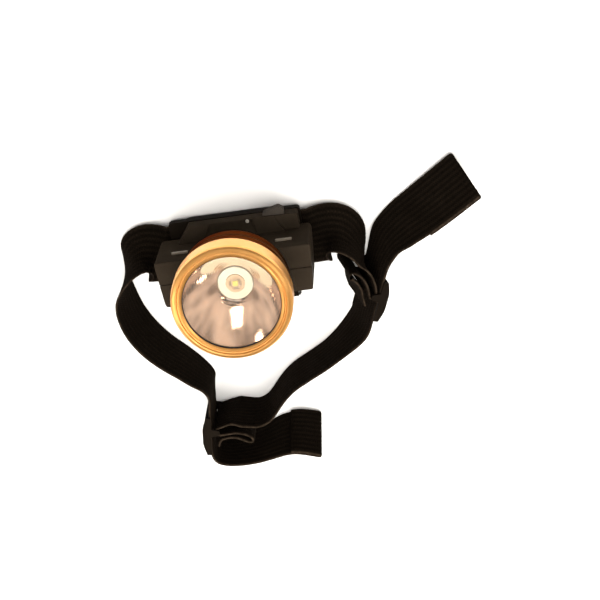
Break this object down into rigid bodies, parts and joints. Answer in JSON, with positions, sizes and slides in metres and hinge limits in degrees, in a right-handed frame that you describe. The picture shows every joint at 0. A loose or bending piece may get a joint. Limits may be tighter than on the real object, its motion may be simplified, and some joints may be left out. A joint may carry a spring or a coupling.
{
  "type": "head torch",
  "caption": "Gold-bezelled head torch on a self-contained battery case, lying on its back, with a tilting bracket and an elastic headband run through two sliders.",
  "frame": {"origin": "on the table under the beam axis, centre of the resting face under the foam pad", "axes": "+Z along the beam, away from the wearer's forehead; +Y towards the wearer's crown; +X along the long side, towards the free right tail"},
  "size_m": [0.1908, 0.1511, 0.0711],
  "materials": {
    "foam": "open foam with a knitted skin",
    "black_plastic": "moulded, semi-gloss",
    "case_plastic": "moulded, satin",
    "button_grey": "moulded, matt",
    "webbing": "woven elastic, dark brown-black",
    "steel": "bright",
    "gold_metal": "gold anodised, satin",
    "clear_glass": "clear, polished",
    "gasket": "soft, matt",
    "mirror": "vacuum-coated, smooth",
    "board": "green solder mask",
    "cell": "shrink-wrapped",
    "switch": "moulded",
    "red": "translucent or insulated, glossy",
    "pale_light": "clear light pipe, glossy",
    "lamp_board": "bare plate",
    "lamp_base": "orange-beige silicone",
    "die": "phosphor yellow",
    "white": "moulded, matt white"
  },
  "bodies": {
    "headband": {"foam_pad": "foam", "pad_carrier": "black_plastic", "bracket": "black_plastic", "hinge_pin": "steel", "hinge_clip": "steel", "carrier_screw_1": "steel", "carrier_screw_2": "steel", "carrier_screw_3": "steel", "carrier_screw_4": "steel", "strap_plate_run": "webbing", "strap_left_run": "webbing", "strap_right_run": "webbing", "strap_rear_run": "webbing", "tail_left": "webbing", "tail_right": "webbing", "hem_left": "webbing", "hem_right": "webbing"},
    "lamp": {"case_upper": "case_plastic", "case_lower": "case_plastic", "case_screw_1": "steel", "case_screw_2": "steel", "case_screw_3": "steel", "case_screw_4": "steel", "switch_body": "switch", "charge_light": "pale_light", "charge_socket": "gasket", "grip_bar_left": "button_grey", "grip_bar_right": "button_grey", "circuit_board": "board", "battery_cell": "cell", "battery_contact": "steel", "battery_spring": "steel", "head_barrel": "gold_metal", "head_nut": "steel", "head_washer": "steel", "bezel_ring": "gold_metal", "lens": "clear_glass", "lens_gasket": "gasket", "reflector": "mirror", "led_board": "lamp_board", "led_base": "lamp_base", "led_die": "die", "led_dome": "clear_glass", "led_insulator": "white", "lead_red": "red", "lead_black": "gasket"},
    "switch_key": {"switch_button": "button_grey"},
    "left_slider": {"slider_left": "black_plastic", "sewn_end_left": "webbing"},
    "right_slider": {"slider_right": "black_plastic", "sewn_end_right": "webbing"}
  },
  "joints": [
    {"name": "lamp_tilt", "type": "hinge", "parent": "headband", "child": "lamp", "pos_m": [0, -0.0152, 0.027], "axis": [1, 0, 0], "range_deg": [0, 45]},
    {"name": "switch_press", "type": "slide", "parent": "lamp", "child": "switch_key", "axis": [0, -1, 0], "range_m": [0, 0.001], "stiffness_N_per_m": 500},
    {"name": "left_slider_travel", "type": "slide", "parent": "headband", "child": "left_slider", "axis": [-0.1219, -0.9925, 0], "range_m": [-0.0025, 0]},
    {"name": "right_slider_travel", "type": "slide", "parent": "headband", "child": "right_slider", "axis": [0.3746, 0.9272, 0], "range_m": [-0.0025, 0]}
  ]
}
